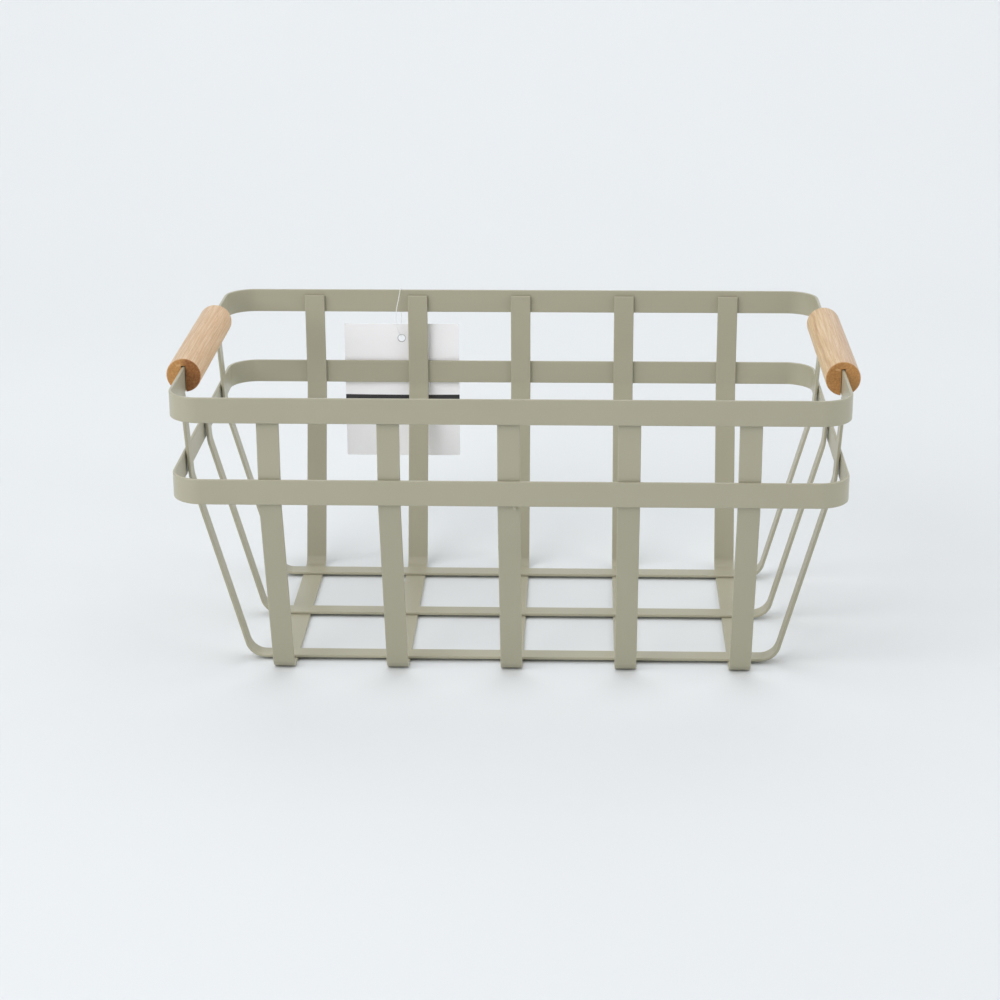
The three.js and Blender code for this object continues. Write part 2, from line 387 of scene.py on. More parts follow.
    def _sawn_end(self, tree: Tree, across: Socket, speckle: Node) -> Node:
        """Colours the sawn ends, with more dark brown on one side of the slot than on the other.

        Args:
            tree: the material's nodes.
            across: how far to the right of the dowel's axis a place is.
            speckle: fine mottling about zero.

        Returns:
            The colour.
        """
        half = self.end_split_half_mm * MM
        left_share, right_share = self.end_shares
        depth = add_node(tree, "MapRange", {
            "Value": across, "From Min": -half, "From Max": half,
            "To Min": left_share, "To Max": right_share})
        depth = add_node(tree, "Math", {0: depth, 1: speckle}, operation="ADD", use_clamp=True)
        sawn, _ = self.end_dark.over(tree, linear(self.end_light), depth)
        return sawn

    def _splintered(self, tree: Tree, colour: Node, from_axis: Node, speckle: Node) -> Node:
        """Lays pale splinters round one place beside the slot, where the saw tore the wood.

        Args:
            tree: the material's nodes.
            colour: the wood's colour so far.
            from_axis: the place in the wood, from the dowel's axis.
            speckle: fine mottling about zero.

        Returns:
            The colour with the splinters.
        """
        torn_x, torn_z = self.splinter_place_mm
        off_place = add_node(tree, "VectorMath", {
            0: from_axis, 1: (torn_x * MM, self.end_y, torn_z * MM)}, operation="SUBTRACT")
        stretched = add_node(tree, "VectorMath", {
            0: off_place, 1: tuple(per_mm(size) for size in self.splinter_mm)}, operation="MULTIPLY")
        reach = add_node(tree, "VectorMath", {0: stretched}, operation="LENGTH")
        ragged = add_node(tree, "Math", {0: reach, 1: speckle}, operation="ADD")
        splintered, _ = self.splinter.over(tree, colour, ragged)
        return splintered


@dataclass(frozen=True)
class CoatedCard(Finish):
    """Coated white card, printed and punched.

    The eye sees a smooth, nearly flat white with a plain dark band across the face that looks into the
    basket, and a grey ring round the hole that is painted shade, for the shadow of the hole's edge.
    """

    band_bottom: float
    band_top: float
    hole_x: float
    hole_z: float
    hole_radius: float
    name: str = "coated_card_printed"
    colour: str = "#FAF9F9"
    fibre: Tint = Tint("#F6F5F5")
    band: Tint = Tint("#2F2D2E")
    hole_shade_colour: str = "#7C7B7B"
    hole_shade_share: float = 0.95
    hole_shade_mm: float = 0.5
    fibre_mm: float = 1.6
    fibre_height_mm: float = 0.006
    face_normal_y: float = -0.5
    roughness: float = 0.5
    index: float = 1.48

    def inputs(self, tree: Tree, place: Socket) -> Inputs:
        """Draws the fibres, the painted shade round the hole and the printed band.

        Args:
            tree: the material's nodes.
            place: the place on the card.

        Returns:
            The shader's inputs.
        """
        # Real fibres are finer than a pixel, so their mottling is drawn coarser to show
        fibres = add_node(tree, "TexNoise", {
            "Vector": place, "Scale": per_mm(self.fibre_mm), "Detail": 5.0, "Roughness": 0.65})
        paper, _ = self.fibre.over(tree, linear(self.colour), fibres)
        # Painted shade: a grey ring just outside the hole stands in for the shadow of its edge
        from_hole = add_node(tree, "VectorMath", {
            0: place, 1: (self.hole_x, 0.0, self.hole_z)}, operation="SUBTRACT")
        along_face = add_node(tree, "VectorMath", {0: from_hole, 1: (1.0, 0.0, 1.0)}, operation="MULTIPLY")
        reach = add_node(tree, "VectorMath", {0: along_face}, operation="LENGTH")
        rim = self.hole_radius + self.hole_shade_mm * MM
        hole_shade = Tint(self.hole_shade_colour, rim, self.hole_radius, self.hole_shade_share)
        punched, _ = hole_shade.over(tree, paper, reach)
        colour, _ = self.band.over(tree, punched, self._in_band(tree, place))
        relief = add_node(tree, "Bump", {
            "Height": fibres, "Distance": self.fibre_height_mm * MM, "Strength": 1.0})
        return {"Base Color": colour, "Roughness": self.roughness, "Normal": relief, "IOR": self.index}

    def _in_band(self, tree: Tree, place: Socket) -> Node:
        """Marks where the band is printed.

        Args:
            tree: the material's nodes.
            place: the place on the card.

        Returns:
            1 on the band and 0 beside it.
        """
        height = add_node(tree, "SeparateXYZ", {"Vector": place}).outputs["Z"]
        middle, half = (self.band_bottom + self.band_top) / 2, (self.band_top - self.band_bottom) / 2
        inside = add_node(tree, "Math", {0: height, 1: middle, 2: half}, operation="COMPARE")
        normal = add_node(tree, "NewGeometry", {}).outputs["True Normal"]
        facing = add_node(tree, "SeparateXYZ", {"Vector": normal}).outputs["Y"]
        front = add_node(tree, "Math", {0: facing, 1: self.face_normal_y}, operation="LESS_THAN")
        return add_node(tree, "Math", {0: inside, 1: front}, operation="MULTIPLY")


@dataclass(frozen=True)
class NylonThread(Finish):
    """Nylon monofilament, drawn.

    The eye sees a milky, half see-through thread that shows white before the paint and hardly at all before
    pale paper. Nylon's own index of 1.53 would edge it with dark lines there, so a lower one is set.
    """

    name: str = "nylon_monofilament_drawn"
    colour: str = "#FEFEFE"
    draw_line: Tint = Tint("#F4F5F6")
    clearness: float = 0.55
    index: float = 1.06
    milkiness: float = 0.3
    scatter_mm: float = 0.3
    line_mm: float = 0.5
    line_length_mm: float = 6.0
    roughness_low: float = 0.22
    roughness_high: float = 0.4

    def inputs(self, tree: Tree, place: Socket) -> Inputs:
        """Draws faint lines along the thread, coarser than the real ones so that they show.

        Args:
            tree: the material's nodes.
            place: the place on the thread.

        Returns:
            The shader's inputs.
        """
        drawn = add_node(tree, "VectorMath", {
            0: place, 1: (per_mm(self.line_mm), per_mm(self.line_mm), per_mm(self.line_length_mm))},
            operation="MULTIPLY")
        lines = add_node(tree, "TexNoise", {"Vector": drawn, "Scale": 1.0, "Detail": 2.0})
        tone, _ = self.draw_line.over(tree, linear(self.colour), lines)
        gloss = add_node(tree, "MapRange", {
            "Value": lines, "To Min": self.roughness_low, "To Max": self.roughness_high})
        return {
            "Base Color": tone, "Roughness": gloss, "IOR": self.index, "Transmission Weight": self.clearness,
            "Subsurface Weight": self.milkiness, "Subsurface Scale": self.scatter_mm * MM,
            "Subsurface Radius": (1.0, 1.0, 1.0)}


@dataclass(frozen=True)
class BackdropPaper(Finish):
    """Seamless paper, matt: the eye sees an even, pale and faintly cool grey."""

    name: str = "seamless_paper_matt"
    colour: str = "#DEE1E0"
    mottle: Tint = Tint("#DBDEDD")
    mottle_mm: float = 300.0
    roughness: float = 0.9
    specular: float = 0.2

    def inputs(self, tree: Tree, place: Socket) -> Inputs:
        """Draws a barely visible drift of tone.

        Args:
            tree: the material's nodes.
            place: the place on the paper.

        Returns:
            The shader's inputs.
        """
        mottling = add_node(tree, "TexNoise", {
            "Vector": place, "Scale": per_mm(self.mottle_mm), "Detail": 2.0})
        tone, _ = self.mottle.over(tree, linear(self.colour), mottling)
        return {"Base Color": tone, "Roughness": self.roughness, "Specular IOR Level": self.specular}


def skin(name: str, *shells: Rings, closed: bool = False) -> bpy.types.Object:
    """Joins rows of like outlines into closed shells of one mesh object.

    Args:
        name: the piece's name.
        shells: for each shell, outlines with the same count of points, in order along the piece.
        closed: whether the last outline joins the first; otherwise both get an end face.

    Returns:
        The new object, in the scene, with its flat faces shaded flat and its bends smooth.
    """
    shape = bmesh.new()
    for rings in shells:
        rows = [[shape.verts.new(point) for point in ring] for ring in rings]
        followers = rows[1:] + rows[:1] if closed else rows[1:]
        for row, follower in zip(rows, followers):
            for i, corner in enumerate(row):
                beside = (i + 1) % len(row)
                shape.faces.new((corner, row[beside], follower[beside], follower[i]))
        if not closed:
            shape.faces.new(rows[0])
            shape.faces.new(rows[-1])
    bmesh.ops.recalc_face_normals(shape, faces=shape.faces)
    mesh = bpy.data.meshes.new(name)
    shape.to_mesh(mesh)
    shape.free()
    mesh.shade_smooth()
    mesh.set_sharp_from_angle(angle=SHARP_ANGLE)
    piece = bpy.data.objects.new(name, mesh)
    bpy.context.scene.collection.objects.link(piece)
    weighted = piece.modifiers.new("flat_faces_stay_flat", "WEIGHTED_NORMAL")
    weighted.keep_sharp = True
    return piece


def dress(piece: bpy.types.Object, material: Material, body: Body, slot: Slot, *nodes: str) -> None:
    """Gives a piece its finish and its place in the frame.

    Args:
        piece: the object.
        material: its finish.
        body: the body that it rides on.
        slot: the record's slot that it takes its finish from; not used.
        nodes: the solids that it stands for.
    """
    piece.data.materials.append(material)
    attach(piece, body.value)
    if nodes:
        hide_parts(*nodes)
    LOG.info("%s rides on %s and stands for %s", piece.name, body.value, ", ".join(nodes) or "no solid")


@dataclass(frozen=True)
class StripSection:
    """Cross-section of a flat strip, with edges and ends rounded by rolling and paint."""

    gauge: ClassVar[float] = 1.5 * MM

    width: float
    edge_radius: float = 0.45 * MM
    edge_steps: int = 4
    end_turn: float = math.radians(75)

    def outline(self, inset: float = 0.0) -> list[tuple[float, float]]:
        """Gives the section's outline.

        Args:
            inset: how far the outline is drawn in, where the strip's end is rounded.

        Returns:
            Pairs of how far outwards and how far across each point lies.
        """
        radius = self.edge_radius - inset
        through = self.gauge / 2 - self.edge_radius
        across = self.width / 2 - self.edge_radius
        points = []
        for quarter, (side, edge) in enumerate(((1, 1), (-1, 1), (-1, -1), (1, -1))):
            for step in range(self.edge_steps + 1):
                angle = (quarter + step / self.edge_steps) * QUARTER_TURN
                outwards = side * through + radius * math.cos(angle)
                points.append((outwards, edge * across + radius * math.sin(angle)))
        return points

    def end_steps(self) -> list[tuple[float, float]]:
        """Rounds an end of the strip, in steps from its straight run to its end face.

        Returns:
            Pairs of how far the outline is drawn in and how far it lies back from the end face.
        """
        steps = []
        for step in range(self.edge_steps + 1):
            angle = step / self.edge_steps * self.end_turn
            inset = self.edge_radius * (1 - math.cos(angle))
            steps.append((inset, self.edge_radius * (math.sin(self.end_turn) - math.sin(angle))))
        return steps


@dataclass(frozen=True)
class BentLine:
    """Straight runs joined by round bends, in one plane, with the inside of the bends on the left."""

    corners: list[Vector]
    radii: list[float]
    closed: bool = False
    bend_step: float = math.radians(4.5)
    run_step: float = 12 * MM

    def points(self) -> list[Vector]:
        """Walks along the line.

        Returns:
            Points on the line, close together in the bends.
        """
        walk: list[Vector] = []
        for i, (corner, radius) in enumerate(zip(self.corners, self.radii)):
            bend = self._bend(i) if radius else [corner]
            if walk:
                walk += self._run(walk[-1], bend[0])
            walk += bend
        if self.closed:
            walk += self._run(walk[-1], walk[0])
        return walk

    def _bend(self, i: int) -> list[Vector]:
        """Rounds one corner.

        Args:
            i: the corner's number.

        Returns:
            The points of the arc there, both ends included.
        """
        corner, radius = self.corners[i], self.radii[i]
        back = (self.corners[i - 1] - corner).normalized()
        ahead = (self.corners[(i + 1) % len(self.corners)] - corner).normalized()
        half = math.acos(back.dot(ahead)) / 2
        centre = corner + (back + ahead).normalized() * radius / math.sin(half)
        spoke = corner + back * radius / math.tan(half) - centre
        turn = math.pi - 2 * half
        steps = math.ceil(turn / self.bend_step)
        return [centre + Matrix.Rotation(turn * k / steps, 2) @ spoke for k in range(steps + 1)]

    def _run(self, start: Vector, end: Vector) -> list[Vector]:
        """Gives the points of a straight run, without its two ends."""
        steps = math.ceil((end - start).length / self.run_step)
        return [start.lerp(end, k / steps) for k in range(1, steps)]


def bend_strip(name: str, line: BentLine, section: StripSection, plane: Matrix) -> bpy.types.Object:
    """Runs a strip's section along a bent line.

    Args:
        name: the piece's name.
        line: the middle of the strip's thickness.
        section: the strip's cross-section.
        plane: places the line's plane; its third column is the way across the strip.

    Returns:
        The strip as a mesh object.
    """
    middle = line.points()
    last = len(middle) - 1
    rings = []
    for i, point in enumerate(middle):
        before = middle[i - 1] if i or line.closed else point
        after = middle[(i + 1) % len(middle)] if i < last or line.closed else point
        along = (after - before).normalized()
        outward = Vector((along.y, -along.x))
        steps = [(0.0, 0.0)]
        if not line.closed and i in (0, last):
            steps = section.end_steps()
            if i == 0:
                steps.reverse()
        for inset, setback in steps:
            station = point + along * (setback if i == 0 else -setback)
            ring = []
            for outwards, across in section.outline(inset):
                flat = station + outward * outwards
                ring.append(plane @ Vector((flat.x, flat.y, across)))
            rings.append(ring)
    return skin(name, rings, closed=line.closed)


@dataclass
class Bands:
    """Rim and lower band: a strip on edge each, bent to a rounded rectangle and welded shut."""

    finish: Material
    corner_radius: float = 16 * MM
    nodes: tuple[str, ...] = ("top_rim", "mid_band")

    def build(self) -> None:
        """Bends both bands round the outline that their solids have."""
        half_gauge = StripSection.gauge / 2
        for node in self.nodes:
            low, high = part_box(node)
            x, y = high.x - half_gauge, high.y - half_gauge
            corners = [Vector((x, -y)), Vector((x, y)), Vector((-x, y)), Vector((-x, -y))]
            line = BentLine(corners, [self.corner_radius - half_gauge] * len(corners), closed=True)
            plane = Matrix.Translation((0, 0, (low.z + high.z) / 2))
            band = bend_strip(f"{node}_painted", line, StripSection(high.z - low.z), plane)
            dress(band, self.finish, Body.BASKET, Slot.STEEL, node)


def end_wall_lean() -> float:
    """Works out how steeply the end walls lean out, from inside the lower band to under the rim.

    Returns:
        How far outwards a wall goes for each metre of height.
    """
    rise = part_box("top_rim")[0].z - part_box("mid_band")[1].z
    return (StripSection.gauge + WELD_HEIGHT) / rise


@dataclass
class BentStrips:
    """Strips bent up at both ends: along the base, up a leaning wall, then steeper past the lower band."""

    finish: Material
    nodes: tuple[str, ...]
    across: Vector
    along: Vector
    base_half: float
    base_radius: float
    lean: float = 0.0
    wall_bend_drop: float = 1.1 * MM
    wall_bend_radius: float = 20 * MM

    def build(self) -> None:
        """Bends each strip to its solid's reach."""
        bend_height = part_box("mid_band")[0].z - self.wall_bend_drop
        outer_radii = [0, self.wall_bend_radius, self.base_radius]
        radii = [max(radius - StripSection.gauge / 2, 0) for radius in outer_radii + outer_radii[::-1]]
        for node in self.nodes:
            low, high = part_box(node)
            reach, width = (high - low).dot(self.along) / 2, abs((high - low).dot(self.across))
            top = high.z - StripSection.gauge * self.lean
            bend = reach - self.lean * (top - bend_height)
            right = [(self.base_half, low.z), (bend, bend_height), (reach, top)]
            outer = [Vector((-x, z)) for x, z in reversed(right)] + [Vector(corner) for corner in right]
            plane = Matrix((self.along, UP, self.across)).transposed().to_4x4()
            plane.translation = self.across * (low + high).dot(self.across) / 2
            line = BentLine(self._drawn_in(outer), radii)
            strip = bend_strip(f"{node}_painted", line, StripSection(width), plane)
            dress(strip, self.finish, Body.BASKET, Slot.STEEL, node)

    def _drawn_in(self, outer: list[Vector]) -> list[Vector]:
        """Moves a line from the strip's outer face to the middle of its thickness.

        Args:
            outer: the corners on the outer face, with the inside of the strip on the left.

        Returns:
            The corners of the middle line.
        """
        runs = [(after - before).normalized() for before, after in zip(outer, outer[1:])]
        lefts = [Vector((-run.y, run.x)) for run in runs]
        moved = []
        for i, corner in enumerate(outer):
            first, second = lefts[max(i - 1, 0)], lefts[min(i, len(lefts) - 1)]
            moved.append(corner + (first + second) / (1 + first.dot(second)) * StripSection.gauge / 2)
        return moved


@dataclass
class Welds:
    """Spot welds between strips and bands, a bead pressed out of one, and seams under the rim's ends."""

    # Steps through a spot: share of its thickness from the middle, and share of its radius
    spot_profile: ClassVar[tuple[tuple[float, float], ...]] = (
        (-0.5, 1.0), (-0.2, 0.86), (0.0, 0.8), (0.2, 0.86), (0.5, 1.0))

    finish: Material
    cross_nodes: tuple[str, ...]
    long_nodes: tuple[str, ...]
    sides: int = 20
    spot_radius: float = 2.2 * MM
    spot_ragged: float = 0.12
    spot_ragged_pitch: float = 37.0
    end_spot_drop: float = 2.6 * MM
    end_spot_inset: float = 0.3 * MM
    end_spot_depth: float = 0.9 * MM
    bead_place_mm: tuple[float, float, float] = (2.9, 1.25, -0.7)
    bead_radius: float = 0.95 * MM
    bead_rows: int = 9
    bead_lump: float = 0.35
    bead_lump_pitch: float = 1.7
    bead_stretch: float = 1.35
    seam_half_width: float = 0.82 * MM
    seam_half_height: float = 0.42 * MM
    seam_steps: int = 16
    seam_taper: float = 0.6
    seam_taper_power: int = 6
    seam_wave: float = 0.06
    seam_wave_pitch: float = 4.0
    seam_place_pitch: float = 90.0

    def build(self) -> None:
        """Sets a spot where a strip passes a band, the bead under the lower band's front, and the seams."""
        rim_low, rim_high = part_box("top_rim")
        mid_low, mid_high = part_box("mid_band")
        inside = rim_high.y - StripSection.gauge
        spots, seams = [], []
        for node in self.cross_nodes:
            low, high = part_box(node)
            for z in ((rim_low.z + high.z) / 2, (mid_low.z + mid_high.z) / 2):
                for side in Side:
                    place = Vector(((low.x + high.x) / 2, side.value * (inside + high.y) / 2, z))
                    spots.append(self._spot(place, BACK * (inside - high.y), RIGHT))
        # The lengthwise strips lean towards the band's top edge, so their spots are pressed into its face
        spot_x = mid_high.x - StripSection.gauge - self.end_spot_inset
        seam_x = rim_high.x - StripSection.gauge / 2
        for node in self.long_nodes:
            low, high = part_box(node)
            y = (low.y + high.y) / 2
            for side in Side:
                place = Vector((side.value * spot_x, y, mid_high.z - self.end_spot_drop))
                spots.append(self._spot(place, RIGHT * self.end_spot_depth, BACK))
                if high.z > mid_high.z:
                    end = Vector((side.value * seam_x, y, rim_low.z))
                    seams.append(self._seam(end, (high.y - low.y) / 2))
        bead = self._bead(Vector((0, mid_low.y, mid_low.z)) + Vector(self.bead_place_mm) * MM)
        for name, shells in (("spot_welds", spots), ("weld_bead", [bead]), ("rim_seam_welds", seams)):
            dress(skin(name, *shells), self.finish, Body.BASKET, Slot.STEEL)

    def _round(self) -> list[float]:
        """Gives the angles of the points round a weld."""
        return [FULL_TURN * k / self.sides for k in range(self.sides)]

    def _spot(self, place: Vector, through: Vector, across: Vector) -> Rings:
        """Presses one spot flat between two faces.

        Args:
            place: its middle.
            through: from one face to the other.
            across: a way along the faces.

        Returns:
            Outlines through its thickness, pinched at the middle and ragged at the edge.
        """
        rings = []
        for depth, spread in self.spot_profile:
            ring = []
            for angle in self._round():
                spoke = across * math.cos(angle) + UP * math.sin(angle)
                ragged = 1 + self.spot_ragged * noise.noise((place + spoke) * self.spot_ragged_pitch)
                ring.append(place + through * depth + spoke * self.spot_radius * spread * ragged)
            rings.append(ring)
        return rings

    def _bead(self, place: Vector) -> Rings:
        """Shapes the bead, a lump that ran down from the lower band's front edge.

        Args:
            place: the bead's middle.

        Returns:
            Its outlines from top to bottom.
        """
        rings = []
        for row in range(self.bead_rows):
            polar = math.pi * (row + 0.5) / self.bead_rows
            spread = math.sin(polar)
            ring = []
            for angle in self._round():
                spoke = Vector((spread * math.cos(angle), spread * math.sin(angle), math.cos(polar)))
                lump = 1 + self.bead_lump * noise.noise(spoke * self.bead_lump_pitch)
                spoke.z *= self.bead_stretch
                ring.append(place + spoke * self.bead_radius * lump)
            rings.append(ring)
        return rings

    def _seam(self, place: Vector, half_length: float) -> Rings:
        """Runs one seam along the end of a strip, under the rim.

        Args:
            place: the seam's middle.
            half_length: half of the strip's width.

        Returns:
            Outlines along the seam, a slightly wavy roll with tapered ends.
        """
        start = place * self.seam_place_pitch
        rings = []
        for step in range(self.seam_steps + 1):
            share = 2 * step / self.seam_steps - 1
            taper = 1 - self.seam_taper * abs(share) ** self.seam_taper_power
            wave = noise.noise((start.x, share * self.seam_wave_pitch, start.y))
            swell = taper * (1 + self.seam_wave * wave)
            wide, high = self.seam_half_width * swell, self.seam_half_height * swell
            y = share * half_length
            spokes = [Vector((wide * math.cos(a), y, high * math.sin(a))) for a in self._round()]
            rings.append([place + spoke for spoke in spokes])
        return rings


@dataclass
class Handles:
    """Dowels with a slot sawn from below, pushed over the ends of the rim."""

    slot_width: float = 2.1 * MM
    roof: float = 3.8 * MM
    edge_radius: float = 0.8 * MM
    edge_steps: int = 5
    barrel_steps: int = 72
    wall_steps: int = 8
    length_steps: int = 12

    def build(self) -> None:
        """Turns both dowels and dresses each in a wood of its own."""
        for side in Side:
            node = f"handle_{side.name.lower()}"
            low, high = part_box(node)
            radius = (high.x - low.x) / 2
            axis = Vector(((low.x + high.x) / 2, 0, high.z - radius))
            straight = high.y - self.edge_radius
            ends = []
            for step in range(self.edge_steps + 1):
                angle = step / self.edge_steps * QUARTER_TURN
                fall = self.edge_radius * (1 - math.cos(angle))
                ends.append((straight + self.edge_radius * math.sin(angle), radius - fall))
            middle = [straight * (2 * k / self.length_steps - 1) for k in range(1, self.length_steps)]
            profile = [(-y, r) for y, r in reversed(ends)] + [(y, radius) for y in middle] + ends
            rings = [[axis + Vector((x, y, z)) for x, z in self._outline(r, radius)] for y, r in profile]
            wood = self._wood(side, axis, -high.y)
            dress(skin(f"{node}_dowel", rings), wood, Body.BASKET, Slot.WOOD, node)

    def _wood(self, side: Side, axis: Vector, end_y: float) -> Material:
        """Picks the piece of wood that a dowel was turned from, and the painted light on its two sides.

        Args:
            side: which handle it is.
            axis: a point on the dowel's axis.
            end_y: where its front end is.

        Returns:
            The wood's material.
        """
        # The two side tones are painted light: the side towards the basket is lighter and warmer, the outer
        # side greyer
        if side is Side.LEFT:
            return BeechDowel(
                "beech_turned_clear_coated_left", axis.x, axis.z, end_y, left_painted_light_tone="#C2A784",
                right_painted_light_tone="#D1AD83", line_x_mm=3.0, line_share=0.25, end_shares=(0.25, 0.85),
                splinter_place_mm=(-2.4, 5.2)).build()
        return BeechDowel(
            "beech_turned_clear_coated_right", axis.x, axis.z, end_y, left_painted_light_tone="#CFB183",
            right_painted_light_tone="#C2A589", line_x_mm=-6.9, line_share=0.58, end_shares=(0.42, 0.3),
            splinter_place_mm=(-2.8, 4.6)).build()

    def _outline(self, radius: float, full_radius: float) -> list[tuple[float, float]]:
        """Gives the slotted disc's outline.

        Args:
            radius: the disc's radius at this place.
            full_radius: the barrel's radius, which places the slot's roof.

        Returns:
            Points round the disc and then round the slot, as (across, up) from the axis.
        """
        slot = self.slot_width / 2
        lip = math.asin(slot / radius)
        points = []
        for k in range(self.barrel_steps + 1):
            angle = -QUARTER_TURN + lip + k / self.barrel_steps * (FULL_TURN - 2 * lip)
            points.append((radius * math.cos(angle), radius * math.sin(angle)))
        mouth, roof = -radius * math.cos(lip), full_radius - self.roof
        walls = [mouth + (roof - mouth) * k / self.wall_steps for k in range(1, self.wall_steps + 1)]
        points += [(-slot, z) for z in walls]
        points += [(slot, z) for z in reversed(walls)]
        return points


@dataclass
class HangTag:
    """Card on a nylon loop, behind the back wall."""

    # The loop's route from its knot over the rim and through the card's hole to the knot, in millimetres
    # from the middle of the rim's top edge: along the rim, outwards, up
    route: ClassVar[tuple[tuple[float, float, float], ...]] = (
        (0.0, 3.3, -22.0),
        (0.0, 3.6, -19.0),
        (0.0, 3.7, -14.0),
        (0.0, 3.4, -9.0),
        (0.0, 2.8, -4.5),
        (0.0, 2.1, -1.6),
        (0.0, 1.3, 0.35),
        (0.0, 0.0, 1.0),
        (-0.1, -1.35, 0.3),
        (-0.4, -2.4, -1.6),
        (-1.0, -4.1, -4.8),
        (-1.8, -6.3, -8.6),
        (-2.2, -7.6, -12.8),
        (-2.1, -7.3, -17.0),
        (-1.6, -5.9, -21.0),
        (-0.9, -3.8, -24.4),
        (-0.3, -1.3, -26.5),
        (0.0, 1.0, -27.15),
        (0.0, 2.7, -26.4),
        (0.0, 3.4, -24.8),
        (0.0, 3.4, -23.2),
    )

    # Outlines between the card's hole and its edge, as shares of the way, closer by the hole
    card_shares: ClassVar[tuple[float, ...]] = (0.0, 0.03, 0.1, 0.25, 0.5, 0.75, 1.0)

    thread_diameter: float = 0.45 * MM
    thread_length: float = 64.2 * MM
    thread_roundness: int = 3
    thread_steps: int = 8
    knot_size: float = 0.34 * MM
    knot_steps: int = 72
    knot_sides: int = 8
    hole_diameter: float = 4 * MM
    hole_drop: float = 8.3 * MM
    corner_radius: float = 0.3 * MM
    corner_step: float = math.radians(30)
    edge_step: float = 3 * MM
    bow: float = 0.7 * MM
    band_drop: float = 41.7 * MM
    band_height: float = 6.0 * MM

    def build_loop(self) -> None:
        """Draws the thread as one smooth curve and ties its knot."""
        hinge = Vector(frame["joints"][0]["pos_m"])
        points = [hinge + Vector(point) * MM for point in self.route]
        curve = bpy.data.curves.new("tag_loop_thread", "CURVE")
        curve.dimensions = "3D"
        curve.bevel_depth = self.thread_diameter / 2
        curve.bevel_resolution = self.thread_roundness
        curve.use_fill_caps = True
        spline = curve.splines.new("BEZIER")
        spline.resolution_u = self.thread_steps
        spline.bezier_points.add(len(points) - 1)
        for bend, point in zip(spline.bezier_points, points):
            bend.co = point
            bend.handle_left_type = bend.handle_right_type = "AUTO"
        thread = bpy.data.objects.new("tag_loop_thread", curve)
        bpy.context.scene.collection.objects.link(thread)
        nylon = NylonThread().build()
        dress(thread, nylon, Body.TAG, Slot.THREAD, "tag_loop")
        knot = self._knot((points[0] + points[-1]) / 2)
        dress(knot, nylon, Body.TAG, Slot.THREAD)

    def _knot(self, place: Vector) -> bpy.types.Object:
        """Ties an overhand knot of the thread, along the curve of a trefoil.

        Args:
            place: the knot's middle.

        Returns:
            The knot as a mesh object.
        """
        path = []
        for k in range(self.knot_steps):
            t = FULL_TURN * k / self.knot_steps
            trefoil = (math.sin(3 * t), math.sin(t) + 2 * math.sin(2 * t), math.cos(t) - 2 * math.cos(2 * t))
            path.append(place + self.knot_size * Vector(trefoil))
        angles = [FULL_TURN * k / self.knot_sides for k in range(self.knot_sides)]
        rings = []
        for k, point in enumerate(path):
            along = (path[(k + 1) % self.knot_steps] - path[k - 1]).normalized()
            side = along.cross((point - place).normalized()).normalized()
            up = side.cross(along)
            spokes = [side * math.cos(angle) + up * math.sin(angle) for angle in angles]
            rings.append([point + self.thread_diameter / 2 * spoke for spoke in spokes])
        return skin("tag_loop_knot", rings, closed=True)

    def build_card(self) -> None:
        """Cuts the card round its punched hole, with the slight bow that card takes."""
        low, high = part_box("hang_tag")
        hole = Vector(((low.x + high.x) / 2, high.z - self.hole_drop))
        places = ((low.x, low.z), (high.x, low.z), (high.x, high.z), (low.x, high.z))
        corners = [Vector(place) for place in places]
        radii = [self.corner_radius] * len(corners)
        edge = BentLine(corners, radii, True, bend_step=self.corner_step, run_step=self.edge_step).points()
        lip = [hole + (point - hole).normalized() * self.hole_diameter / 2 for point in edge]
        flat = [[inner.lerp(outer, share) for inner, outer in zip(lip, edge)] for share in self.card_shares]
        half_width = (high.x - low.x) / 2
        rings = []
        for face_y, face in ((low.y, flat), (high.y, flat[::-1])):
            for ring in face:
                lifts = [self.bow * ((point.x - hole.x) / half_width) ** 2 for point in ring]
                rings.append([Vector((point.x, face_y + lift, point.y)) for point, lift in zip(ring, lifts)])
        band_top = high.z - self.band_drop
        band_bottom = band_top - self.band_height
        card = CoatedCard(band_bottom, band_top, hole.x, hole.y, self.hole_diameter / 2).build()
        dress(skin("hang_tag_card", rings, closed=True), card, Body.TAG, Slot.CARD, "hang_tag")


@dataclass
class PhotoCamera:
    """Camera at the photograph's place, told in the frame of a basket turned a little to the right."""

    distance: float = 1190.75 * MM
    height: float = 476.65 * MM
    side_shift: float = 8.2 * MM
    pitch: float = math.radians(19.032)
    roll: float = math.radians(0.287)
    turn: float = math.radians(-2.14)
    lens_mm: float = 85.458
    sensor_mm: float = 36.0

    def build(self) -> None:
        """Places the camera and makes it the scene's own."""
        forward = Vector((0, math.cos(self.pitch), -math.sin(self.pitch)))
        level = Matrix((RIGHT, RIGHT.cross(forward), -forward)).transposed().to_4x4()
        level = level @ Matrix.Rotation(-self.roll, 4, "Z")
        stand = Matrix.Translation((0, -self.distance, self.height))
        basket = Matrix.Translation((self.side_shift, 0, 0)) @ Matrix.Rotation(self.turn, 4, "Z")
        data = bpy.data.cameras.new("photo_camera")
        data.lens = self.lens_mm
        data.sensor_width = self.sensor_mm
        camera = bpy.data.objects.new("photo_camera", data)
        camera.matrix_world = basket.inverted() @ stand @ level
        bpy.context.scene.collection.objects.link(camera)
        bpy.context.scene.camera = camera


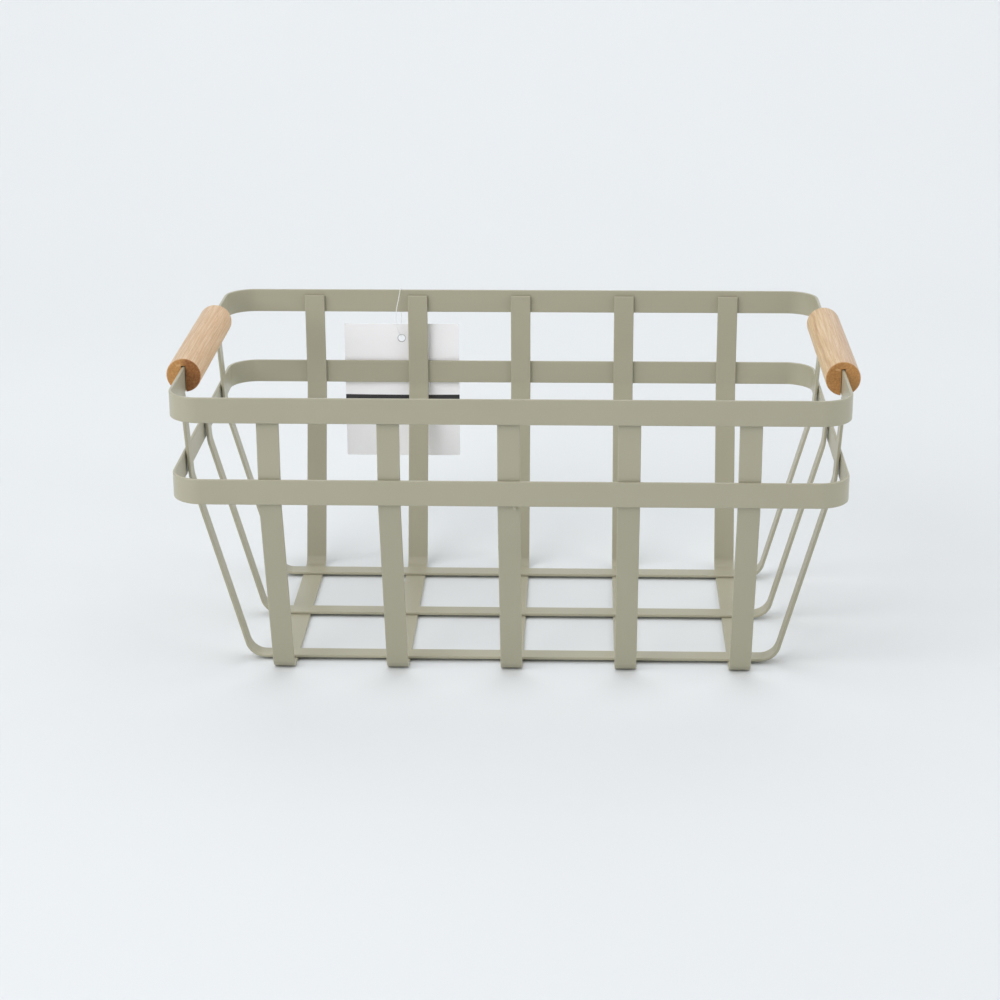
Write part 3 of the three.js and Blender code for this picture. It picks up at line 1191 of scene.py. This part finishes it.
@dataclass(frozen=True)
class Softbox:
    """Light with a wide, even front, of a power in watts."""

    name: str
    place: tuple[float, float, float]
    size: tuple[float, float]
    power: float
    colour: str = "#FBFBFF"
    aim_height: float = 0.06

    def build(self) -> None:
        """Hangs the light so that it looks at the basket's middle."""
        data = bpy.data.lights.new(self.name, "AREA")
        data.shape = "RECTANGLE"
        data.size, data.size_y = self.size
        data.energy = self.power
        data.color = linear(self.colour)[:3]
        light = bpy.data.objects.new(self.name, data)
        light.location = self.place
        aim = UP * self.aim_height - Vector(self.place)
        light.rotation_euler = aim.to_track_quat("-Z", "Y").to_euler()
        bpy.context.scene.collection.objects.link(light)


@dataclass
class Studio:
    """Pale paper sweep under soft light."""

    softboxes: ClassVar[tuple[Softbox, ...]] = (
        Softbox("key_softbox", place=(-1.6, -1.4, 1.5), size=(2.6, 2.2), power=57.0),
        Softbox("fill_softbox", place=(2.0, -0.3, 0.9), size=(2.2, 1.6), power=25.2),
        Softbox("overhead_softbox", place=(-0.3, -0.1, 1.9), size=(2.6, 2.2), power=7.0),
        Softbox("back_softbox", place=(0.0, 1.0, 1.9), size=(3.0, 1.4), power=14.4),
    )

    floor_half_width: float = 6.0
    floor_front: float = -6.0
    floor_back: float = 1.6
    sweep_radius: float = 1.0
    wall_height: float = 3.0
    paper_step: float = 0.25
    paper_columns: int = 4
    air_colour: str = "#F4F7FF"
    air_strength: float = 0.25

    def build(self) -> None:
        """Sets up the paper, the lights and the tone of the picture."""
        self._paper()
        for softbox in self.softboxes:
            softbox.build()
        world = bpy.data.worlds.new("studio_air")
        world.use_nodes = True
        tree = world.node_tree
        tree.nodes.clear()
        air = add_node(tree, "Background", {"Color": linear(self.air_colour), "Strength": self.air_strength})
        add_node(tree, "OutputWorld", {"Surface": air})
        bpy.context.scene.world = world
        bpy.context.scene.view_settings.view_transform = "Standard"

    def _paper(self) -> None:
        """Rolls the paper out along the floor and up behind."""
        places = ((self.floor_front, 0), (self.floor_back, 0), (self.floor_back, self.wall_height))
        corners = [Vector(place) for place in places]
        line = BentLine(corners, [0, self.sweep_radius, 0], run_step=self.paper_step)
        shares = [2 * k / self.paper_columns - 1 for k in range(self.paper_columns + 1)]
        sides = [share * self.floor_half_width for share in shares]
        shape = bmesh.new()
        rows = [[shape.verts.new((x, point.x, point.y)) for x in sides] for point in line.points()]
        for row, follower in zip(rows, rows[1:]):
            for i in range(self.paper_columns):
                shape.faces.new((row[i], row[i + 1], follower[i + 1], follower[i]))
        mesh = bpy.data.meshes.new("paper_sweep")
        shape.to_mesh(mesh)
        shape.free()
        mesh.shade_smooth()
        mesh.materials.append(BackdropPaper().build())
        paper = bpy.data.objects.new("paper_sweep", mesh)
        bpy.context.scene.collection.objects.link(paper)


def main() -> None:
    """Builds the camera and the thread, then the basket, the card and the studio."""
    logging.basicConfig(level=logging.INFO, format="%(name)s: %(message)s")
    PhotoCamera().build()
    tag = HangTag()
    tag.build_loop()
    paint = PowderCoat().build()
    Bands(paint).build()
    cross_nodes = tuple(f"cross_strip_{n}" for n in range(1, 6))
    long_nodes = tuple(f"long_strip_{place}" for place in ("front", "middle", "back"))
    BentStrips(
        paint, cross_nodes, across=RIGHT, along=BACK, base_half=76 * MM, base_radius=7.5 * MM).build()
    BentStrips(
        paint, long_nodes, across=-BACK, along=RIGHT, base_half=135 * MM, base_radius=10.5 * MM,
        lean=end_wall_lean()).build()
    Welds(paint, cross_nodes, long_nodes).build()
    Handles().build()
    tag.build_card()
    Studio().build()


if __name__ == "__main__":
    main()
